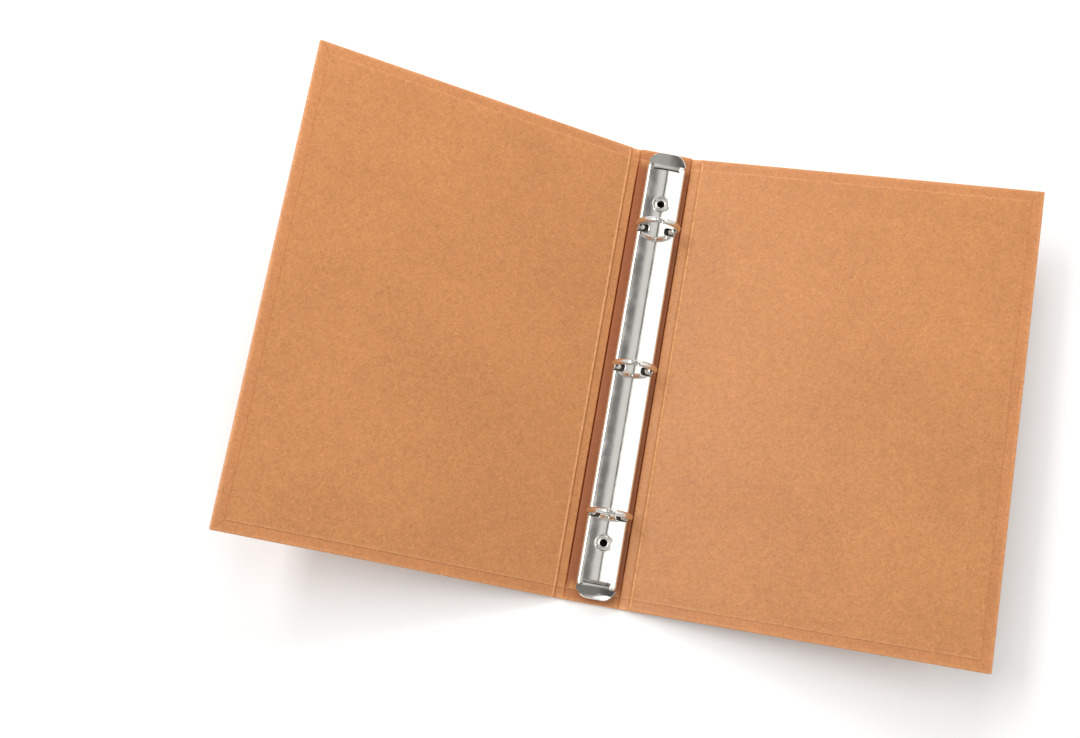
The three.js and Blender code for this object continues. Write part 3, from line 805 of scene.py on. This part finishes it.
def make_plate():
    """The arched cover plate: one sheet with ring slots, dimples for the rivets, ears and hems."""
    half = plate_section()
    section = np.vstack([half[:0:-1] * [-1, 1], half])
    steps = np.linalg.norm(np.diff(section, axis=0), axis=1)
    across = np.concatenate([[0], np.cumsum(steps)])
    across -= across[-1] / 2
    crest = len(half) - 1
    upper = slice(crest, crest + SLOPE_POINTS + SHOULDER_STEPS)

    def at_x(x):
        return np.interp(x, section[upper, 0], across[upper])

    def at_height(z):
        return np.interp(-z, -section[upper, 1], across[upper])

    # The rows of points lie closely at the ring slots, the rivets and the ears.
    stops = [0, 2.6, 67.2, 72.5, RIVET_Y - 7, RIVET_Y + 7, 99.8, EAR_END]
    row_steps = [0.3, 3, 0.3, 1.2, 0.29, 2, 0.25]
    ys = stations([-y for y in stops[:0:-1]] + stops, row_steps[::-1] + row_steps)
    plan = np.stack(np.meshgrid(across, ys), axis=-1).reshape(-1, 2)
    slot_in, slot_out = at_x(SLOT_INNER), at_height(SLOT_FLOOR)
    slot_middle = (slot_in + slot_out) / 2
    slot_half = ((slot_out - slot_in) / 2, SLOT_LENGTH / 2)
    notch_half = (at_x(EAR_INNER), 10)

    def openings(p):
        found = [
            rounded_box(p, (side * slot_middle, y), slot_half, SLOT_CORNER)
            for side in (1, -1)
            for y in RING_ROWS.values()
        ]
        for end in (1, -1):
            found.append(circle(p, (0, end * RIVET_Y), RIVET_BARREL + GLUE_GAP))
            found.append(rounded_box(p, (0, end * (PLATE_END + notch_half[1])), notch_half, NOTCH_CORNER))
        return np.min(found, axis=0)

    for end in (1, -1):
        plan = ringed(plan, np.array([0, end * RIVET_Y]), DIMPLE_RADIUS + 0.4)
    plan, faces = punched(plan, grid_faces(len(ys), len(across)), openings)
    x = np.interp(plan[:, 0], across, section[:, 0])
    z = np.interp(plan[:, 0], across, section[:, 1])
    y = plan[:, 1]
    on_top = np.abs(plan[:, 0]) < at_x(PLATE_HALF - SHOULDER_RADIUS)
    for end in (1, -1):
        away = np.hypot(x, y - end * RIVET_Y)
        seated = np.where(on_top, 1 - smooth((away - DIMPLE_FLOOR) / (DIMPLE_RADIUS - DIMPLE_FLOOR)), 0)
        z = z + (DIMPLE_HEIGHT - z) * seated
    ear = np.clip((np.abs(y) - EAR_END + EAR_ROUNDING) / EAR_ROUNDING, 0, 1)
    ear_drop = EAR_DROP * (1 - np.sqrt(1 - 0.96 * ear**2))  # almost a quarter of a circle
    z = z - np.where(np.abs(x) > EAR_INNER - 0.2, ear_drop, 0)
    x, y = round_corners(x, y, PLATE_HALF, EAR_END, EAR_CORNER)
    parts = [(np.stack([x, y, z], axis=-1), faces)]
    piece = mechanism_piece("cover_plate_shell", parts, plate_nickel, "cover_plate")
    thicken(piece, PLATE_SHEET, -1)
    soften(piece, 0.08)
    settle(piece)
    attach(piece, "spine")


def ring_path(side):
    """A ring half's middle line and the direction across it, from the top of the ring to its foot."""
    top = 90 + math.degrees(RING_OVERLAP / RING_RADIUS)
    round_part = arc((0, RING_CENTRE_HEIGHT), RING_RADIUS, top, -40, 40)
    foot_x = BLADE_PIVOT_X - RING_LEG * math.cos(BLADE_TILT)
    foot_z = BLADE_PIVOT_HEIGHT - RING_LEG * math.sin(BLADE_TILT) + BLADE_SHEET / 2 + GLUE_GAP
    bend = round_part[-1]
    lean = np.array([-math.sin(BLADE_TILT), math.cos(BLADE_TILT)])
    foot = np.array([foot_x, foot_z])
    controls = [bend, bend - [0.5, 0.6], foot + 1.5 * lean, foot]
    t = np.linspace(0, 1, 9)[1:, None]
    leg = (
        (1 - t) ** 3 * controls[0] + 3 * (1 - t) ** 2 * t * controls[1]
        + 3 * (1 - t) * t**2 * controls[2] + t**3 * controls[3]
    )
    path = np.vstack([round_part, leg])
    along = np.gradient(path, axis=0)
    along /= np.linalg.norm(along, axis=1, keepdims=True)
    across = np.stack([-along[:, 1], along[:, 0]], axis=-1)
    return path * [side, 1], across * [side, 1]


def swept(rings):
    """A closed tube through rings of points, with a face over each end."""
    sides = len(rings[0])
    points = np.concatenate(rings)
    last = len(points) - sides
    faces = list(grid_faces(len(rings), sides, closed=True))
    faces.append(np.arange(sides)[::-1])
    faces.append(np.arange(last, last + sides))
    return points, faces


def make_ring_half(label, side, y):
    """A half ring. Its tip is cut to half of the wire, and lies beside the other half's tip."""
    path, across = ring_path(side)
    wire_radius = RING_WIRE / 2
    turn = np.radians(np.arange(0, 360, 360 / RING_SIDES))
    whole_from = next(i for i, place in enumerate(path) if place[0] * side >= RING_OVERLAP + 0.1)

    def ring(centre, direction, radius, half_only):
        flat = radius * np.cos(turn)[:, None] * direction
        sideways = radius * np.sin(turn)
        if half_only:
            sideways = np.where(sideways * side < GLUE_GAP, side * GLUE_GAP, sideways)
        return np.column_stack([centre[0] + flat[:, 0], y + sideways, centre[1] + flat[:, 1]])

    rings = [
        ring(path[0] + [side * 0.02, 0], across[0], wire_radius - RING_TIP_CHAMFER, True),
        ring(path[0] + [side * 0.12, 0], across[0], wire_radius, True),
    ]
    rings += [ring(path[i], across[i], wire_radius, True) for i in range(1, whole_from + 1)]
    rings += [ring(path[i], across[i], wire_radius, False) for i in range(whole_from, len(path))]
    parts = [swept(rings), tenon(side, y)]
    name = f"{label}_ring_{'left' if side < 0 else 'right'}"
    piece = mechanism_piece(f"{name}_wire", parts, wire_nickel, name, same_way=True)
    soften(piece, 0.12, 2, 50)
    settle(piece)
    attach(piece, "left_jaw" if side < 0 else "right_jaw")


def lathe(profile, sides):
    """A profile of radii and heights turned about Z, with a face over each end."""
    turn = np.radians(np.arange(0, 360, 360 / sides))
    return swept([
        np.column_stack([r * np.cos(turn), r * np.sin(turn), np.full(sides, z)]) for r, z in profile
    ])


def tenon(side, y):
    """The end of a ring's foot, headed over under the blade."""
    top = BLADE_SHEET / 2 + 0.2
    under = -BLADE_SHEET / 2
    points, faces = lathe([
        (AXIS_RADIUS, top), (TENON_RADIUS, top), (TENON_RADIUS, under - 0.05),
        (TENON_HEAD_RADIUS - 0.1, under - 0.05), (TENON_HEAD_RADIUS, under - 0.15),
        (TENON_HEAD_RADIUS - 0.1, under - 0.35), (0.9, under - TENON_HEAD_DEPTH),
        (AXIS_RADIUS, under - TENON_HEAD_DEPTH),
    ], TENON_SIDES)
    points = points - [side * RING_LEG, 0, 0]
    lean = side * BLADE_TILT
    turned = np.column_stack([
        points[:, 0] * math.cos(lean) - points[:, 2] * math.sin(lean),
        points[:, 1],
        points[:, 0] * math.sin(lean) + points[:, 2] * math.cos(lean),
    ])
    return turned + [side * BLADE_PIVOT_X, y, BLADE_PIVOT_HEIGHT], faces


def lever_tongue(end):
    """The strip that turns down from the stem's inner end and reaches in under the blades."""
    bend, ease = LEVER_WEB_BEND, 0.15
    y = np.array([bend, ease, 0, 0, -ease, -bend, LEVER_TONGUE_TIP - LEVER_WEB]) + LEVER_WEB
    z = np.array([
        LEVER_STEM_TOP, LEVER_STEM_TOP - ease, LEVER_STEM_TOP - bend,
        LEVER_TONGUE_TOP + bend, LEVER_TONGUE_TOP + ease, LEVER_TONGUE_TOP, LEVER_TONGUE_TOP,
    ])
    edges = [
        np.stack([np.full(len(y), side * end * LEVER_TONGUE_HALF), y * end, z], axis=-1) for side in (-1, 1)
    ]
    return np.stack(edges, axis=1).reshape(-1, 3), grid_faces(len(y), 2)[:, ::-1]


def make_lever(label, end):
    """A thumb lever: a stem that passes between the plate's ears, a dished lip with a raised rim,
    and a tongue that reaches in under the blades."""
    xs = stations([-LEVER_HALF, LEVER_HALF], [0.45])
    ys = stations([LEVER_WEB, PLATE_END, LEVER_LIP + 1, LEVER_END], [1.2, 0.35, 0.3])
    plan = np.stack(np.meshgrid(xs, ys), axis=-1).reshape(-1, 2)

    def beside_stem(p):
        half = (10, 20)
        cuts = [(LEVER_STEM_HALF, PLATE_END - 0.3), (LEVER_NECK_HALF, LEVER_LIP)]
        return np.min([
            rounded_box(p, (side * (inner + half[0]), outer - half[1]), half, 0.6)
            for side in (1, -1)
            for inner, outer in cuts
        ], axis=0)

    plan, faces = punched(plan, grid_faces(len(ys), len(xs)), beside_stem)
    x, y = round_corners(plan[:, 0], plan[:, 1], LEVER_HALF, LEVER_END, LEVER_CORNER)
    out = np.maximum(y - LEVER_CURL, 0) / (LEVER_END - LEVER_CURL)
    rise = (LEVER_RIM_HEIGHT - LEVER_STEM_TOP) * out**1.8
    crown = LEVER_CROWN * (x / LEVER_HALF) ** 2 * out
    joggle = LEVER_JOGGLE * line_at(y - LEVER_CURL, LEVER_JOGGLE_WIDTH)
    z = LEVER_STEM_TOP + rise - crown - joggle
    body = f"{label}_lever"
    parts = [(np.stack([x * end, y * end, z], axis=-1), faces), lever_tongue(end)]
    piece = mechanism_piece(f"{body}_lip", parts, plate_nickel, body)
    thicken(piece, LEVER_SHEET, -1)
    soften(piece, 0.3, 3)
    settle(piece)
    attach(piece, body)


def rivet_profile(seat, head_top):
    """A rivet's outline, from the middle of its head under the spine, out, up over the rolled rim
    and down inside to the bottom of the bore."""
    bottom = GLUE_GAP - MECHANISM[2]
    flat = RIVET_HEAD - RIVET_EDGE
    head = [
        (r, bottom + RIVET_DOME * (r / flat) ** 2 + RIVET_PUNCH * line_at(r, RIVET_PUNCH_RADIUS))
        for r in np.linspace(AXIS_RADIUS, flat, 14)
    ]
    edge = arc((flat, bottom + RIVET_DOME + RIVET_EDGE), RIVET_EDGE, -75, 0, 5)
    rim_centre = (RIVET_FLANGE + RIVET_BORE) / 2
    rim_half = (RIVET_FLANGE - RIVET_BORE) / 2
    rim_rise = RIVET_FLANGE_HEIGHT - RIVET_RIM_LIFT
    rolled = [
        (rim_centre + rim_half * math.cos(a), seat + RIVET_RIM_LIFT + rim_rise * math.sin(a))
        for a in np.radians(np.linspace(0, 180, 15))
    ]
    return [
        *head, *edge, (RIVET_HEAD, head_top), (RIVET_BARREL, head_top),
        (RIVET_BARREL, seat - 0.1), (RIVET_BARREL + 0.1, seat), (RIVET_FLANGE - 0.08, seat),
        *rolled, (RIVET_BORE - 0.02, seat - 0.6), (RIVET_BORE, head_top), (AXIS_RADIUS, head_top - 0.1),
    ]


def make_rivet(label, end):
    """A tubular rivet whose rolled rim holds the plate down in its dimple."""
    seat = DIMPLE_HEIGHT + RIVET_SEAT_GAP
    head_top = RIVET_HEAD_TOP - MECHANISM[2]
    points, faces = lathe(rivet_profile(seat, head_top), RIVET_SIDES)
    parts = [(points + [0, end * RIVET_Y, 0], faces)]
    name = f"{label}_rivet"
    piece = mechanism_piece(f"{name}_eyelet", parts, rivet_nickel, name, same_way=True)
    settle(piece)
    # The bore's inside gets the near-black painted shade.
    piece.data.materials.append(rivet_bore)
    centre = Vector((MECHANISM[0], end * RIVET_Y, 0)) * MM
    for polygon in piece.data.polygons:
        inward = (polygon.center - centre).to_2d().length
        depth = (MECHANISM[2] + seat) * MM - polygon.center.z
        if inward < (RIVET_BORE + 0.01) * MM and 0 < depth < (seat - head_top + 0.2) * MM:
            polygon.material_index = 1
    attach(piece, "spine")


def make_mechanism():
    """All of the ring mechanism, with the finish of the two blades, which keep their CAD shape and are
    painted dark as painted shade under the plate.
    """
    make_plate()
    for label, y in RING_ROWS.items():
        for side in (-1, 1):
            make_ring_half(label, side, y)
    for label, end in (("upper", 1), ("lower", -1)):
        make_lever(label, end)
        make_rivet(label, end)
    for name in ("left_blade", "right_blade"):
        repaint(name, blade_painted_shade)


make_case()
make_mechanism()


# ---- the studio ----
# The ceiling's brightness across the spine. Each place is the X of the direction that it lies in.
CEILING_BANDS = [
    (-1, 0.9), (-0.4, 1.5), (-0.305, 1.5), (-0.262, 0.22), (-0.18, 0.22), (-0.155, 0.38), (-0.115, 0.78),
    (-0.08, 0.8), (0.08, 0.72), (0.11, 0.16), (0.16, 0.14), (0.205, 1.5), (0.6, 1.5), (1, 0.9),
]


def make_floor():
    """A wide matt white floor, a hair below the binder."""
    mesh = bpy.data.meshes.new("studio_floor")
    half = 12.0
    level = -0.0002
    corners = [(-half, -half, level), (half, -half, level), (half, half, level), (-half, half, level)]
    mesh.from_pydata(corners, [], [(0, 1, 2, 3)])
    material, tree, shader = new_material("studio_white")
    shader.inputs["Base Color"].default_value = (0.95, 0.95, 0.95, 1)
    shader.inputs["Roughness"].default_value = 0.9
    shader.inputs["Specular IOR Level"].default_value = 0.1
    mesh.materials.append(material)
    floor = bpy.data.objects.new("studio_floor", mesh)
    bpy.context.scene.collection.objects.link(floor)


def softbox(name, direction, distance, width, length, power, reflected=True):
    """An area light that faces the binder from a direction, its length lying along the spine.
    Unless it is reflected, it gives light but isn't seen in the metal."""
    light = bpy.data.lights.new(name, "AREA")
    light.shape = "RECTANGLE"
    light.size = width
    light.size_y = length
    light.energy = power
    lamp = bpy.data.objects.new(name, light)
    away = Vector(direction).normalized()
    across = Vector((0, 1, 0)).cross(away).normalized()
    facing = Matrix((across, away.cross(across), away)).transposed().to_4x4()
    lamp.matrix_world = Matrix.Translation(away * distance) @ facing
    lamp.visible_glossy = reflected
    bpy.context.scene.collection.objects.link(lamp)


def ceiling(tree, across):
    """Long panels along the spine, bright and dark across it."""
    ramp = node(tree, "ShaderNodeValToRGB", {"Fac": ranged(tree, across, -1, 1, 0, 1, "LINEAR")})
    elements = ramp.color_ramp.elements
    while len(elements) < len(CEILING_BANDS):
        elements.new(0.5)
    for element, (x, value) in zip(elements, CEILING_BANDS):
        element.position = (x + 1) / 2
        element.color = (value, value, value * 0.98, 1)
    return ramp.outputs["Color"]


def make_world():
    """A pale studio with long panels overhead, whose bands the polished plate reflects. The ceiling
    is dark in a stretch beyond the spine's upper end, and half dark on the camera's side."""
    world = bpy.data.worlds.new("studio")
    bpy.context.scene.world = world
    world.use_nodes = True
    tree = world.node_tree
    background = next(n for n in tree.nodes if n.type == "BACKGROUND")
    direction = node(tree, "ShaderNodeTexCoord").outputs["Generated"]
    parts = node(tree, "ShaderNodeSeparateXYZ", {0: direction}).outputs
    bands = ceiling(tree, parts["X"])
    overhead = ranged(tree, parts["Z"], 0.35, 0.55, 0, 1)
    beyond_start = ranged(tree, parts["Y"], 0.38, 0.44, 0, 0.75)
    beyond_end = ranged(tree, parts["Y"], 0.8, 0.9, 1, 0)
    beyond = calc(tree, "MULTIPLY", beyond_start, beyond_end)
    behind = ranged(tree, parts["Y"], -0.02, -0.12, 0, 0.45)
    panels = mixed(tree, total(tree, [beyond, behind]), bands, (0.05, 0.048, 0.045))
    low = ranged(tree, parts["Y"], -1, 1, 0.5, 0.9, "LINEAR")
    horizon = node(tree, "ShaderNodeCombineXYZ", {0: low, 1: low, 2: low}).outputs[0]
    tree.links.new(mixed(tree, overhead, horizon, panels), background.inputs["Color"])
    background.inputs["Strength"].default_value = 1.0


def make_camera():
    """The camera looks steeply down from the spine's lower end, turned a little about its own axis."""
    aim = Vector((-0.0425, -0.0063, 0))
    distance = 0.6453
    turn, tilt, roll = (math.radians(a) for a in (-0.12, 11.18, 10.49))
    facing = Matrix.Rotation(turn, 4, "Z") @ Matrix.Rotation(tilt, 4, "X")
    camera = bpy.data.objects.new("camera", bpy.data.cameras.new("camera"))
    camera.data.lens = 44.97
    camera.data.clip_start = 0.01
    place = Matrix.Translation(aim + facing @ Vector((0, 0, distance)))
    camera.matrix_world = place @ facing @ Matrix.Rotation(roll, 4, "Z")
    bpy.context.scene.collection.objects.link(camera)
    bpy.context.scene.camera = camera


make_floor()
make_world()
softbox("key", (-0.52, 0.16, 0.84), 1.1, 0.2, 0.8, 5.2)
softbox("beyond", (-0.1, 0.6, 0.75), 0.75, 0.25, 0.25, 1.8, reflected=False)
softbox("glint", (0.27, 0.81, 0.55), 0.9, 0.32, 0.3, 0.7)
make_camera()
bpy.context.scene.view_settings.view_transform = "Standard"
